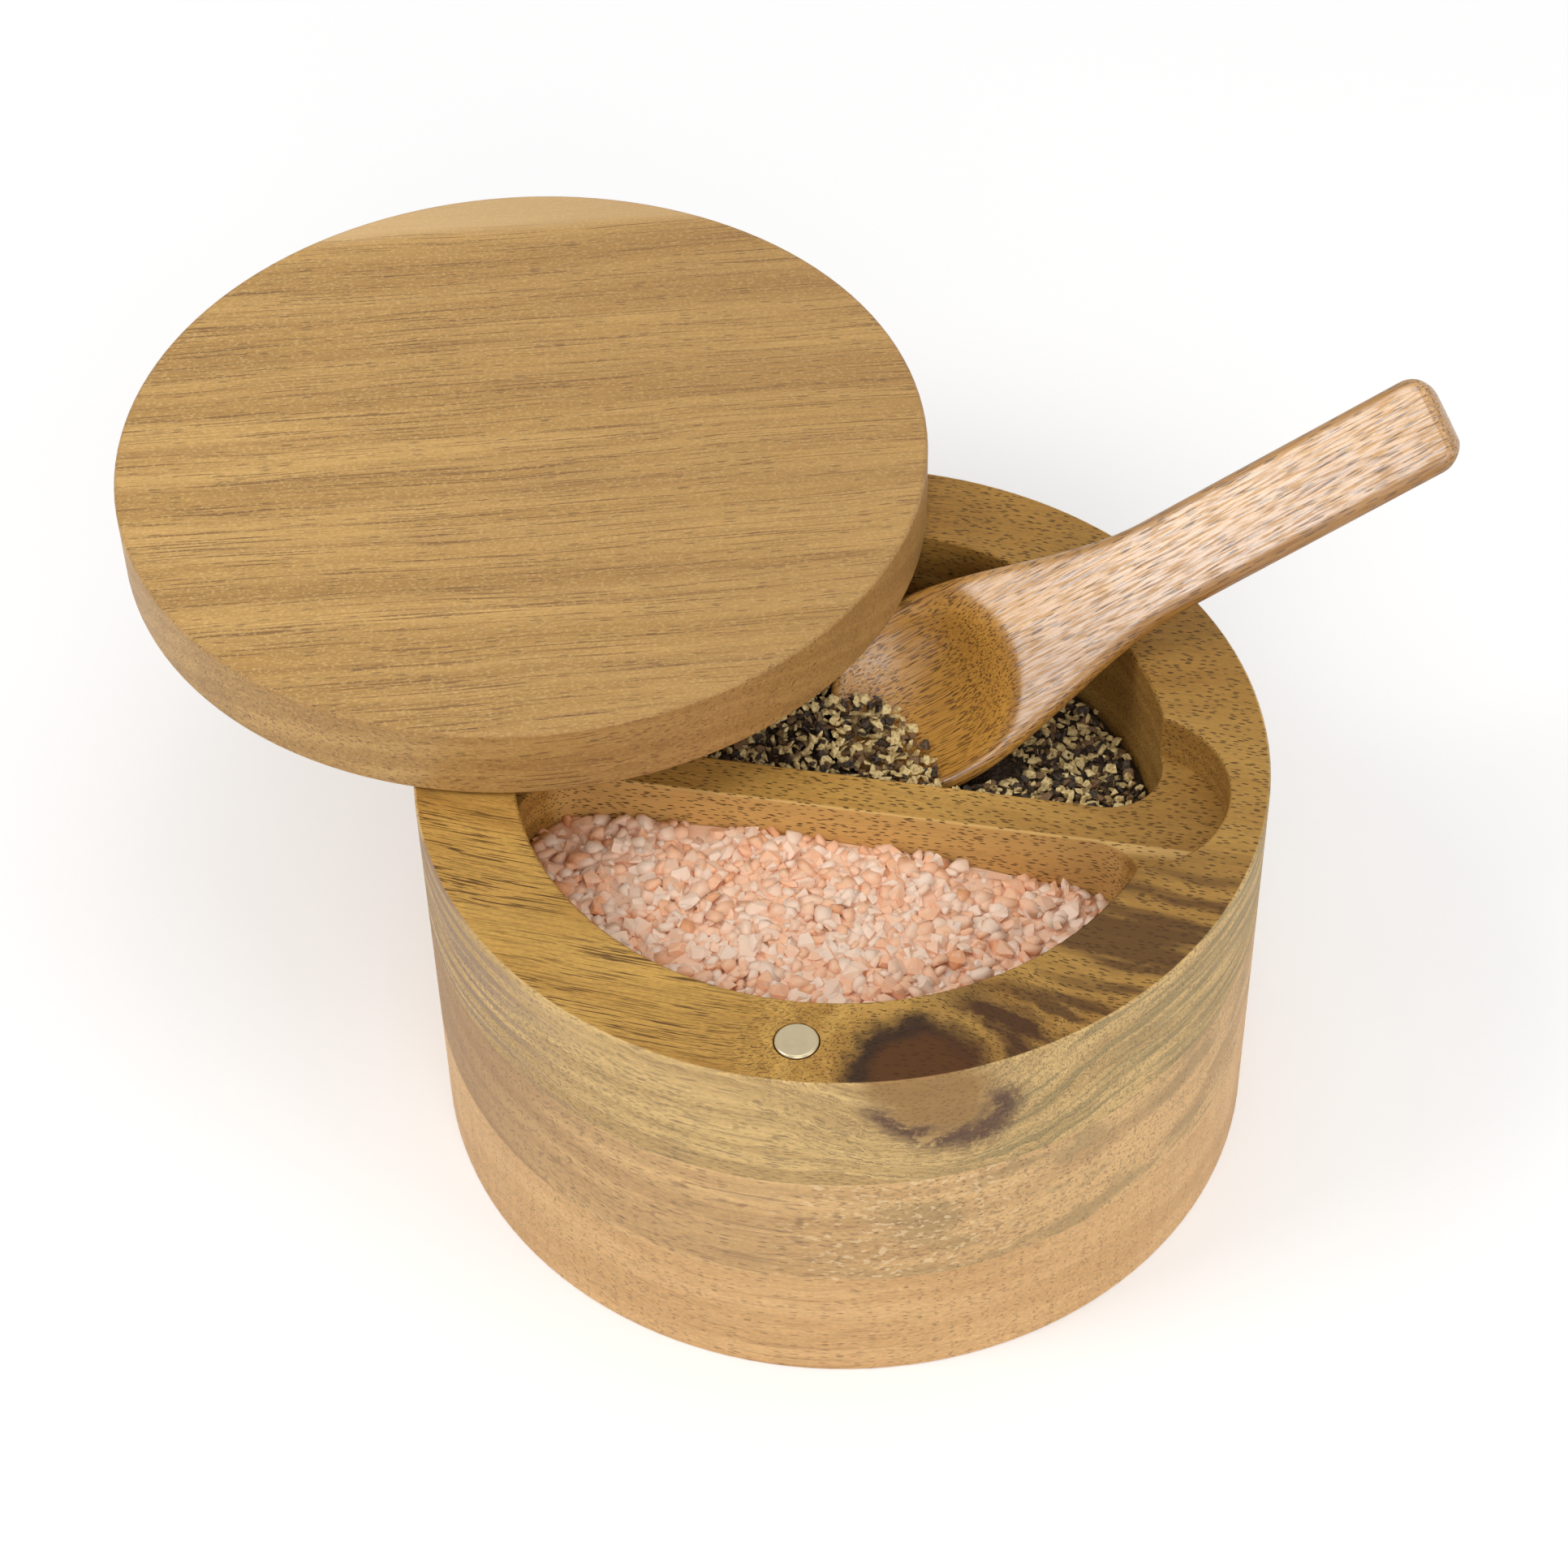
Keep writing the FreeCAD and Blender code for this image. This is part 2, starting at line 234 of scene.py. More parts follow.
# The middle board: the same acacia, a browner tan with pale flecks and an olive patch in front.
# Its faces are hidden in the two glue joints, so only its turned edge and pocket walls show.
MIDDLE_PALE = (0.75, 0.47, 0.205)
MIDDLE_DEEP = (0.57, 0.34, 0.145)
MIDDLE_LINE = (0.36, 0.21, 0.10)
MIDDLE_LEFT = (0.33, 0.175, 0.07)
MIDDLE_OLIVE = (0.38, 0.255, 0.11)
MIDDLE_FLECK = (0.90, 0.67, 0.38)
MIDDLE_PORE = (0.24, 0.13, 0.06)
middle_finish, point = new_finish("middle_wood")
x = measure(point, (1, 0, 0))
wood = grain(point, (1, -0.04, 0), tilt=-0.07, sway=7.0, seed=900.0)
colour, threads = timber(wood, MIDDLE_PALE, MIDDLE_DEEP, band=3.6)
veins = lines(wood, length=34, width=0.55, low=0.53, high=0.66)
colour = tint(colour, MIDDLE_LINE, veins * 0.7)
colour = tint(colour, MIDDLE_LEFT, rise(x, -16.0, -52.0) * 0.66)
olive = rise(mottle(wood, (16, 12, 5), detail=3.0), 0.48, 0.62) * rise(x, 4.0, 24.0)
colour = tint(colour, MIDDLE_OLIVE, olive * 0.65)
flecks = rise(mottle(wood, (1.9, 0.7, 0.7)), 0.56, 0.66)
flecks = flecks * rise(x, -4.0, 10.0) * rise(x, 44.0, 24.0)
colour = tint(colour, MIDDLE_FLECK, flecks * 0.6)
holes = pores(wood, length=2.6, width=0.4, share=0.3)
colour = tint(colour, MIDDLE_PORE, holes * 0.55)
oil(middle_finish, colour, threads, holes, BOARD_ROUGHNESS)
dress("middle_board", middle_finish)


# The upper board: it carries the rim, the divider and the spoon's slot. Its cut faces are oiled
# to a golden brown, its turned side is left pale, and a knot sits in its front right edge.
SIDE_RADIUS = 60.0
KNOT_LEAN = 0.5
KNOT_X_AT_BASE = 52.3
KNOT_Y = -56.5
KNOT_Z = 61.5
KNOT_DEPTH = 1.1
KNOT_HEIGHT = 1.3
KNOT_RAGGED = 5.0
OILED_PALE = (0.60, 0.345, 0.086)
OILED_DEEP = (0.42, 0.215, 0.045)
OILED_RIGHT = (0.24, 0.120, 0.030)
OILED_WALL_PAINTED_LIGHT = (0.76, 0.48, 0.17)
OILED_SMOKE = (0.080, 0.033, 0.010)
OILED_STROKE = (0.085, 0.036, 0.011)
OILED_DASH = (0.085, 0.038, 0.010)
RAW_PALE = (0.74, 0.50, 0.21)
RAW_DEEP = (0.55, 0.355, 0.145)
RAW_LINE = (0.37, 0.245, 0.12)
RAW_MAUVE = (0.33, 0.215, 0.155)
RAW_OLIVE = (0.34, 0.25, 0.115)
RAW_DASH = (0.25, 0.155, 0.07)
KNOT_HEART = (0.082, 0.027, 0.005)
KNOT_RING = (0.034, 0.015, 0.007)
KNOT_SIDE = (0.35, 0.19, 0.068)
KNOT_PATCH = (0.115, 0.058, 0.04)


def reach(*measures):
    """Distance from where all these measures are 0."""
    squares = sum(part * part for part in measures)
    return squares.math("SQRT", squares)


upper_finish, point = new_finish("upper_wood")
x, y, z = axes(point)
ragged = mottle((x, y, z), (3.4, 3.4, 3.4), detail=4.0, roughness=0.6) - 0.5
knot_x = x + z * KNOT_LEAN - KNOT_X_AT_BASE
knot_y = (y - KNOT_Y) / KNOT_DEPTH
knot_z = (z - KNOT_Z) / KNOT_HEIGHT
from_knot = reach(knot_x, knot_y, knot_z) + ragged * KNOT_RAGGED
swell = rise(from_knot, 26.0, 6.0)
fibre, around, through = grain(point, (1, -0.05, 0), tilt=0.08, sway=6.0, seed=0.0)
wood = (fibre, around - swell * 10.0, through + swell * 9.0)
turned = rise(reach(x, y), SIDE_RADIUS - 0.42, SIDE_RADIUS - 0.2)

oiled, threads = timber(wood, OILED_PALE, OILED_DEEP, band=3.0)
oiled = tint(oiled, OILED_RIGHT, rise(x, -4.0, 46.0) * 0.42)
# Painted light: the divider's face towards the salt, below the rim, is painted paler, as if more
# light fell on it.
divider_painted_light = rise(y, -6.0, -4.0) * rise(y, -3.0, -3.3) * rise(z, 62.5, 61.0)
oiled = tint(oiled, OILED_WALL_PAINTED_LIGHT, divider_painted_light * 0.75)
left = rise(x, 16.0, -14.0) * rise(z, 56.5, 60.0)
cluster = rise(mottle(wood, (24, 4, 4)), 0.36, 0.56)
strokes = lines(wood, length=8, width=0.24, low=0.52, high=0.60)
strokes = strokes * (0.15 + left * 0.85) * (0.3 + cluster * 0.7)
dashes = pores(wood, length=1.7, width=0.36, share=0.95) * (1 - left * 0.8)
smoke = rise(mottle(wood, (26, 5, 5), detail=3.0), 0.40, 0.56)
smoke = smoke * rise(x, 20.0, 36.0) * rise(y, -8.0, -20.0)
halo = rise(from_knot, 10.8, 13.0) * rise(from_knot, 18.5, 14.0) * rise(knot_x, -6.0, 8.0)
oiled = tint(oiled, OILED_SMOKE, (smoke + halo) * 0.85)
oiled = tint(oiled, OILED_STROKE, strokes * 0.9)
oiled = tint(oiled, OILED_DASH, dashes * 0.85)

raw = timber(wood, RAW_PALE, RAW_DEEP, band=2.6)[0]
veins = lines(wood, length=34, width=0.5, low=0.53, high=0.66)
raw = tint(raw, RAW_LINE, veins * 0.75)
mauve = rise(mottle(wood, (60, 20, 1.5), detail=3.0), 0.42, 0.60)
raw = tint(raw, RAW_MAUVE, mauve * rise(x, -18.0, -48.0) * 0.8)
raw = tint(raw, RAW_OLIVE, mauve * rise(x, 12.0, 34.0) * 0.8)
raw = tint(raw, RAW_DASH, dashes * 0.3)

heart = rise(from_knot, 10.0, 7.4)
ring = rise(from_knot, 5.4, 8.4) * rise(from_knot, 12.4, 8.8)
shadowed = rise(knot_x, 7.0, -3.0) * 0.65 + 0.3
oiled = tint(oiled, KNOT_HEART, heart * 0.96)
oiled = tint(oiled, KNOT_RING, ring * shadowed)
raw = tint(raw, KNOT_SIDE, rise(from_knot, 11.0, 5.0) * 0.9)
grit = mottle((x, y, z), (0.7, 0.7, 0.7))
patches = rise(from_knot, 6.4, 8.6) * rise(from_knot, 12.8, 9.6) * rise(z, 61.5, 56.0)
patches = patches * rise(ragged + (grit - 0.5) * 0.5, -0.24, 0.04)
raw = tint(raw, KNOT_PATCH, patches * 0.9)
colour = tint(oiled, raw, turned)
oil(upper_finish, colour, threads, dashes, 0.46 + turned * 0.08, specular=0.18)
dress("upper_board", upper_finish)


# The magnets: two nickel-plated discs, one let into the rim and one under the lid's edge.
# They lie one over the other when the lid is shut, and hold it there.
NICKEL_DARK = (0.46, 0.38, 0.24)
NICKEL_LIGHT = (0.55, 0.46, 0.30)
POLISH_DEPTH = 0.004
nickel, point = new_finish("nickel")
haze = mottle(axes(point), (1.6, 1.6, 1.6), detail=3.0)
scuffs = mottle(axes(point), (0.9, 0.05, 0.05))
colour = tint(NICKEL_DARK, NICKEL_LIGHT, haze)
coat_of(nickel, colour, 0.2 + haze * 0.12, scuffs, POLISH_DEPTH, Metallic=1.0)
dress("body_magnet", nickel)
dress("lid_magnet", nickel)


# The pivot pin: a plain pin of ground steel, on which the lid swivels.
# It is out of sight in its bores in the rim and in the lid.
STEEL_DARK = (0.50, 0.50, 0.51)
STEEL_LIGHT = (0.62, 0.62, 0.63)
steel, point = new_finish("pin_steel")
turning = mottle(axes(point), (3, 3, 0.08))
colour = tint(STEEL_DARK, STEEL_LIGHT, turning)
coat_of(steel, colour, 0.25 + turning * 0.2, turning, POLISH_DEPTH, Metallic=1.0)
dress("pivot_pin", steel)


# The lid: one flat acacia disc, sanded and oiled to a satin golden tan, that swivels on the pin.
# Its fibres lie at an angle, and a strip of pale sapwood runs along its far edge.
LID_GRAIN = math.radians(16.0)
LID_PALE = (0.66, 0.395, 0.132)
LID_DEEP = (0.49, 0.275, 0.083)
LID_STREAK = (0.34, 0.175, 0.055)
LID_BROAD_LINE = (0.36, 0.185, 0.06)
LID_FINE_LINE = (0.23, 0.115, 0.04)
LID_SAPWOOD = (0.78, 0.53, 0.26)
LID_GOLD = (0.90, 0.62, 0.26)
LID_RIGHT = (0.36, 0.19, 0.06)
LID_RIM = (0.33, 0.175, 0.06)
LID_PORE = (0.20, 0.10, 0.035)
lid_finish, point = new_finish("lid_wood")
lid_along = (math.cos(LID_GRAIN), math.sin(LID_GRAIN), 0)
wood = fibre, around, through = grain(point, lid_along, tilt=0.4, sway=3.0, seed=1500.0)
colour, threads = timber(wood, LID_PALE, LID_DEEP, band=2.4)
across = measure(point, (-math.sin(LID_GRAIN), math.cos(LID_GRAIN), 0))
border = across + (mottle((fibre, across, through), (40, 6, 6), detail=3.0) - 0.5) * 5.0
streaks = rise(mottle(wood, (130, 7, 7), detail=3.0), 0.46, 0.64)
colour = tint(colour, LID_STREAK, rise(border, 62.0, 100.0) * 0.2 + streaks * 0.3)
veins = lines(wood, length=60, width=1.1, low=0.54, high=0.70)
colour = tint(colour, LID_BROAD_LINE, veins * 0.5)
veins = lines(wood, length=26, width=0.36, low=0.57, high=0.65)
colour = tint(colour, LID_FINE_LINE, veins * 0.85)
colour = tint(colour, LID_SAPWOOD, rise(border, 106.0, 110.0) * 0.8)
gold = rise(mottle(wood, (0.6, 0.36, 0.36), detail=1.0), 0.52, 0.68)
colour = tint(colour, LID_GOLD, gold * 0.32)
colour = tint(colour, LID_RIGHT, rise(fibre, 1410.0, 1500.0) * 0.3)
lid_low, lid_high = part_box("lid")
x, y = axes(point)[:2]
from_axis_x = x - 500 * (lid_low[0] + lid_high[0])
from_axis_y = y - 500 * (lid_low[1] + lid_high[1])
rim_cut = rise(reach(from_axis_x, from_axis_y), SIDE_RADIUS - 0.8, SIDE_RADIUS - 0.2)
colour = tint(colour, LID_RIM, rim_cut * 0.28)
holes = pores(wood, length=3.2, width=0.36, share=0.22) * rise(border, 106.0, 104.0)
colour = tint(colour, LID_PORE, holes * 0.6)
oil(lid_finish, colour, threads, holes, 0.46, depth=0.07)
dress("lid", lid_finish)


# The spoon: shaped from one piece of reddish acacia and lacquered to a semi-gloss.
# It stands in the pepper with its handle over the rim, and its fibres run along the handle.
SPOON_BOWL = Vector((7.913, 22.142, 55.242))
SPOON_ALONG = Vector((0.81085, 0.26659, 0.52101))
SPOON_ACROSS = Vector((-0.50403, 0.77054, 0.39016))
SPOON_UP = Vector((-0.29744, -0.57896, 0.75916))
SPOON_LENGTH = 100.0
SPOON_BOWL_HALF = 14.9
SPOON_HANDLE_HALF = 7.35
SPOON_NECK = 40.0
SPOON_END_CORNER = 3.8
SPOON_END_EASE = 1.6
SPOON_HEIGHTS = {"tip": 1.9, "bowl": 7.6, "neck": 6.3, "end": 5.6}
SPOON_EDGE = 1.6
SPOON_STATIONS = 150
SPOON_TURNS = 72
HOLLOW_BALL = 20.456
HOLLOW_DEPTH = 5.0
HOLLOW_RIM_SOFT = 0.7
HOLLOW_NECK_SOFT = 1.9
SPOON_PALE = (0.60, 0.305, 0.070)
SPOON_DEEP = (0.45, 0.215, 0.045)
SPOON_PAINTED_LIGHT = (0.80, 0.40, 0.06)
SPOON_LINE = (0.20, 0.075, 0.018)
SPOON_PORE = (0.10, 0.038, 0.010)
SPOON_PAINTED_SHADE = (0.27, 0.115, 0.02)
spoon_finish, point = new_finish("spoon_wood")
wood = fibre, around, through = [
    measure(point, axis) - SPOON_BOWL.dot(axis) for axis in (SPOON_ALONG, SPOON_ACROSS, SPOON_UP)]
colour, threads = timber(wood, SPOON_PALE, SPOON_DEEP, band=3.0)
# Painted light: the bowl, below the level of the handle's flat top, is painted a lighter, warmer
# brown to lift the shade in its hollow.
colour = tint(colour, SPOON_PAINTED_LIGHT, rise(fibre, 17.0, 10.0) * rise(through, 0.0, -1.0) * 0.6)
veins = lines(wood, length=12, width=0.26, low=0.52, high=0.63)
colour = tint(colour, SPOON_LINE, veins * 0.8)
holes = pores(wood, length=3.4, width=0.3, share=0.6)
colour = tint(colour, SPOON_PORE, holes * 0.7)
# Painted shade and reflection: the handle's rounded edges are darkened as if they reflected a dark
# room, and the bowl's hollow is darkened where its wall faces away from the light.
shoulder = rise(around.math("ABSOLUTE", around), 5.3, 6.9) * rise(fibre, 16.0, 38.0)
hollow = rise(through, -0.5, -2.2) * rise(fibre, -2.0, 9.0) * rise(fibre, 16.0, 12.0)
colour = tint(colour, SPOON_PAINTED_SHADE, shoulder * 0.5 + hollow * 0.25)
gloss = rise(mottle(wood, (4, 0.4, 0.4)), 0.36, 0.60) * 0.75 + 0.25
gloss = gloss * (1 - shoulder * 0.6) * (0.6 + rise(fibre, 12.0, 50.0) * 0.4)
coat_of(spoon_finish, colour, 0.38 + (threads - 0.5) * 0.4, threads * 0.8 - holes, 0.2,
        Coat_Weight=gloss, Coat_Roughness=0.26, Coat_IOR=1.9)


def ease(share):
    """Smooth step from 0 to 1."""
    share = min(max(share, 0), 1)
    return share * share * (3 - 2 * share)


def spoon_half_width(along):
    """Half the spoon's width at a distance from the bowl's centre."""
    if along < 0:
        return math.sqrt(max(SPOON_BOWL_HALF ** 2 - along ** 2, 0))
    past = max(along - (SPOON_LENGTH - SPOON_BOWL_HALF - SPOON_END_CORNER), 0)
    lost = SPOON_END_CORNER - math.sqrt(max(SPOON_END_CORNER ** 2 - past ** 2, 0))
    flare = (SPOON_BOWL_HALF - SPOON_HANDLE_HALF) * (1 - ease(along / SPOON_NECK))
    return SPOON_HANDLE_HALF + flare - lost


def spoon_height(along):
    """Depth of the spoon's belly below its flat top."""
    tip, bowl, neck, end = SPOON_HEIGHTS.values()
    if along < 0:
        return tip + (bowl - tip) * (1 - (along / SPOON_BOWL_HALF) ** 2)
    to_end = max(along - SPOON_NECK, 0) / (SPOON_LENGTH - SPOON_BOWL_HALF - SPOON_NECK)
    return bowl + (neck - bowl) * ease(along / SPOON_NECK) + (end - neck) * to_end


def hollow_level(along, across):
    """Level of the bowl's hollow, which runs softly out into the neck."""
    out = math.hypot(along, across)
    ball = HOLLOW_BALL - HOLLOW_DEPTH - math.sqrt(max(HOLLOW_BALL ** 2 - out ** 2, 0))
    soft = HOLLOW_RIM_SOFT + HOLLOW_NECK_SOFT * ease(along / max(out, 0.1) / 0.6)
    share = min(max(0.5 + 0.5 * ball / soft, 0), 1)
    return ball * (1 - share) - soft * share * (1 - share)


def spoon_surface(station, turn):
    """A point of the spoon's skin: a place along it and one round it, each from -1 to 1."""
    along = SPOON_LENGTH * (0.5 - 0.5 * math.cos(math.pi * (station + 1) / 2)) - SPOON_BOWL_HALF
    half = spoon_half_width(along)
    height = spoon_height(along)
    edge = min(SPOON_EDGE, 0.45 * half, 0.45 * height)
    across = half * math.sin(math.pi * turn)
    if abs(turn) <= 0.5:
        past = max(abs(across) - (half - edge), 0)
        up = hollow_level(along, across) - edge + math.sqrt(max(edge ** 2 - past ** 2, 0))
    else:
        belly = height - edge
        arc = (half ** 2 + belly ** 2) / (2 * belly)
        up = arc - height - math.sqrt(max(arc ** 2 - across ** 2, 0))
    past = max(along - (SPOON_LENGTH - SPOON_BOWL_HALF - SPOON_END_EASE), 0) / SPOON_END_EASE
    up = (up + height / 2) * math.sqrt(max(1 - past ** 2, 0)) - height / 2
    return (SPOON_BOWL + along * SPOON_ALONG + across * SPOON_ACROSS + up * SPOON_UP) / 1000


spoon_bm = bmesh.new()
bmesh.ops.create_grid(spoon_bm, x_segments=SPOON_STATIONS, y_segments=SPOON_TURNS, size=1.0)
for v in spoon_bm.verts:
    v.co = spoon_surface(v.co.x, v.co.y)
bmesh.ops.remove_doubles(spoon_bm, verts=spoon_bm.verts, dist=2e-6)
bmesh.ops.dissolve_degenerate(spoon_bm, edges=spoon_bm.edges, dist=1e-6)
bmesh.ops.recalc_face_normals(spoon_bm, faces=spoon_bm.faces)
for face in spoon_bm.faces:
    face.smooth = True


def add_piece(bm, name, material, body):
    """Finish a modelled piece and set it on its CAD body."""
    mesh = bpy.data.meshes.new(name)
    bm.to_mesh(mesh)
    bm.free()
    mesh.materials.append(material)
    piece = bpy.data.objects.new(name, mesh)
    bpy.context.scene.collection.objects.link(piece)
    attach(piece, body)
    return piece


spoon = add_piece(spoon_bm, "spoon_shaped", spoon_finish, "spoon")
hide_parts("spoon")


# The salt: coarse pink rock salt, loose grains heaped a little towards the left.
# Half of them keep their flat broken faces and half are worn soft, in near white and peach
# with a few amber ones.
COMPARTMENT_RADIUS = 46.0
COMPARTMENT_CORNER = 8.0
DIVIDER_HALF = 3.4
SINK = 0.6
SALT_KINDS = 30
SALT_POINTS = 14
SALT_WIDTHS = (0.55, 0.9)
SALT_HEIGHTS = (0.45, 0.75)
SALT_LAYERS = (
    {"spacing": 1.8, "depth": 1.2, "sizes": (3.0, 4.2)},
    {"spacing": 1.6, "depth": 0.4, "sizes": (2.3, 4.4)})
SALT_JITTER = 0.45
SALT_MARGIN = 0.15
SALT_VARIATION = (0.85, 1.15)
SALT_PEAK = (-9, -15, 50.2)
SALT_SPREAD = 480
SALT_RIPPLE = 0.5
SALT_TILT = 0.6
SALT_BED_DROP = 1.0
SALT_BED_TONE = 0.55
SALT_WHITE = (0.99, 0.75, 0.59)
SALT_PEACH = (0.98, 0.57, 0.36)
SALT_AMBER = (0.82, 0.38, 0.17)
SALT_CLOUD = (0.99, 0.80, 0.66)


def in_compartment(x, y, margin):
    """Whether a point lies in either half-moon, this far from its walls."""
    x, y = abs(x), abs(y)
    corner_y = DIVIDER_HALF + COMPARTMENT_CORNER
    corner_x = math.sqrt((COMPARTMENT_RADIUS - COMPARTMENT_CORNER) ** 2 - corner_y ** 2)
    if y < DIVIDER_HALF + margin or math.hypot(x, y) > COMPARTMENT_RADIUS - margin:
        return False
    in_corner = x > corner_x and y * corner_x < x * corner_y
    return not in_corner or math.hypot(x - corner_x, y - corner_y) < COMPARTMENT_CORNER - margin


def broken_grain(name, draw, points, widths, heights, worn):
    """One angular grain about the origin, about 2 mm across before it is scaled."""
    proportions = Vector((1.0, draw.uniform(*widths), draw.uniform(*heights)))
    bm = bmesh.new()
    for _ in range(points):
        spot = Vector((draw.gauss(0, 1), draw.gauss(0, 1), draw.gauss(0, 1))).normalized()
        bm.verts.new(spot * draw.uniform(0.85, 1.1))
    hull = bmesh.ops.convex_hull(bm, input=bm.verts)
    loose = hull["geom_interior"] + hull["geom_unused"]
    inner = {v for v in loose if isinstance(v, bmesh.types.BMVert)}
    bmesh.ops.delete(bm, geom=list(inner), context="VERTS")
    bmesh.ops.scale(bm, vec=proportions, verts=bm.verts)
    bmesh.ops.scale(bm, vec=Vector((1, 1, 1)) / 1000, verts=bm.verts)
    bmesh.ops.recalc_face_normals(bm, faces=bm.faces)
    bm.faces.layers.float.new("tone")
    for face in bm.faces:
        face.smooth = worn
    mesh = bpy.data.meshes.new(name)
    bm.to_mesh(mesh)
    bm.free()
    return mesh


def scatter(draw, layers, jitter):
    """Spots over both compartments, layer by layer: x, y, depth under the surface and size."""
    for layer in layers:
        spacing = layer["spacing"]
        rows = int(2 * COMPARTMENT_RADIUS / spacing)
        for row in range(rows):
            for column in range(rows):
                x = (column - rows / 2 + draw.uniform(-jitter, jitter)) * spacing
                y = (row - rows / 2 + draw.uniform(-jitter, jitter)) * spacing
                yield x, y, layer["depth"], draw.uniform(*layer["sizes"])


def strew(bm, kinds, draw, place, size, tone, tilt):
    """Drop one grain into a heap: turned and tilted, so many millimetres long, with its tone."""
    grain_mesh = draw.choice(kinds).copy()
    angles = (draw.uniform(-tilt, tilt), draw.uniform(-tilt, tilt), draw.uniform(0, 2 * math.pi))
    turn = Euler(angles).to_matrix().to_4x4()
    spot = Matrix.Translation(Vector(place) / 1000)
    grain_mesh.transform(spot @ turn @ Matrix.Scale(size / 2, 4))
    tones = grain_mesh.attributes["tone"].data
    tones.foreach_set("value", [tone] * len(tones))
    bm.from_mesh(grain_mesh)
    bpy.data.meshes.remove(grain_mesh)


def bed(node, drop, tone):
    """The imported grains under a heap's loose surface: the CAD fill, lowered, in one tone."""
    bm = bmesh.new()
    bm.from_mesh(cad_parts[node].data)
    bmesh.ops.remove_doubles(bm, verts=bm.verts, dist=1e-6)
    floor = min(v.co.z for v in bm.verts)
    top = [v for v in bm.verts if v.co.z > floor + 0.01]
    bmesh.ops.translate(bm, vec=(0, 0, -drop / 1000), verts=top)
    layer = bm.faces.layers.float.new("tone")
    for face in bm.faces:
        face[layer] = tone
    return bm


def salt_level(x, y):
    """Height of the salt's surface."""
    peak_x, peak_y, peak_z = SALT_PEAK
    ripple = math.sin(0.31 * x + 1.2) * math.sin(0.27 * y) * SALT_RIPPLE
    return peak_z - ((x - peak_x) ** 2 + (y - peak_y) ** 2) / SALT_SPREAD + ripple


draw = random.Random(11)
crystals = [
    broken_grain(f"crystal_{i}", draw, SALT_POINTS, SALT_WIDTHS, SALT_HEIGHTS, i % 2 == 0)
    for i in range(SALT_KINDS)]
salt_bm = bed("salt_fill", SALT_BED_DROP, SALT_BED_TONE)
for x, y, depth, size in scatter(draw, SALT_LAYERS, SALT_JITTER):
    size = size * draw.uniform(*SALT_VARIATION)
    if y < 0 and in_compartment(x, y, SALT_MARGIN * size):
        place = (x, y, salt_level(x, y) - depth - draw.uniform(0, SINK))
        strew(salt_bm, crystals, draw, place, size, draw.random(), SALT_TILT)
salt_finish, point = new_finish("salt")
tone = point.node("Attribute", {"attribute_name": "tone"}, {}, "Fac")
cloud = mottle(axes(point), (1.1, 1.1, 1.1))
colour = tint(SALT_WHITE, SALT_PEACH, rise(tone, 0.2, 0.8))
colour = tint(colour, SALT_AMBER, rise(tone, 0.93, 0.98) * 0.75)
colour = tint(colour, SALT_CLOUD, rise(cloud, 0.5, 0.72) * 0.35)
coat_of(salt_finish, colour, 0.2 + cloud * 0.3, cloud, 0.06, Specular_IOR_Level=0.25,
        Subsurface_Weight=0.25, Subsurface_Radius=(1.0, 0.85, 0.75), Subsurface_Scale=0.0006)
salt = add_piece(salt_bm, "salt_crystals", salt_finish, "cellar")
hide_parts("salt_fill")


# The pepper: cracked peppercorns, dark skins and pale olive insides, heaped round the spoon.
# The bits in the bowl, stacked from its hollow to a little over its rim, go with the spoon.
PEPPER_KINDS = 24
PEPPER_POINTS = 10
PEPPER_WIDTHS = (0.6, 0.9)
PEPPER_HEIGHTS = (0.3, 0.6)
PEPPER_LAYERS = (
    {"spacing": 1.3, "depth": 0.9, "sizes": (1.5, 2.4)},
    {"spacing": 1.2, "depth": 0.1, "sizes": (1.3, 2.6)})
PEPPER_JITTER = 0.48
PEPPER_MARGIN = 0.5
PEPPER_ROOM = 0.4
PEPPER_PEAK = (-9, 12, 49.7)
PEPPER_SPREAD = 600
PEPPER_RIPPLE = 0.6
MOUND_PEAK = (-6, 22, 3.2)
MOUND_SPREAD = 70
PEPPER_TILT = 0.9
PEPPER_BED_DROP = 1.6
PEPPER_BED_TONE = 0.0
SPOONFUL_RISE = 1.2
SPOONFUL_STEP = 1.1
PEPPER_SKIN = (0.030, 0.019, 0.012)
PEPPER_WRINKLE = (0.13, 0.085, 0.05)
PEPPER_BROWN = (0.27, 0.155, 0.065)
PEPPER_OLIVE = (0.60, 0.42, 0.15)
PEPPER_CREAM = (0.98, 0.78, 0.38)


def pepper_level(x, y):
    """Height of the pepper's surface, which has a mound at the spoon's tip."""
    peak_x, peak_y, peak_z = PEPPER_PEAK
    mound_x, mound_y, mound_z = MOUND_PEAK
    ripple = math.sin(0.35 * x + 0.4) * math.sin(0.31 * y + 0.9) * PEPPER_RIPPLE
    mound = mound_z * math.exp(-((x - mound_x) ** 2 + (y - mound_y) ** 2) / MOUND_SPREAD)
    return peak_z - ((x - peak_x) ** 2 + (y - peak_y) ** 2) / PEPPER_SPREAD + ripple + mound


def beside_spoon(place, room):
    """Where a bit lies: 'clear' of the spoon, 'on' it, or None if it would be in its wood."""
    offset = place - SPOON_BOWL
    along, across, up = (offset.dot(axis) for axis in (SPOON_ALONG, SPOON_ACROSS, SPOON_UP))
    overhang = abs(across) - spoon_half_width(along)
    if overhang > room or along < -SPOON_BOWL_HALF - room:
        return "clear"
    if up > hollow_level(along, across) + room:
        return "clear" if overhang > -room or up > SPOONFUL_RISE else "on"
    return "clear" if up < -spoon_height(along) - room else None


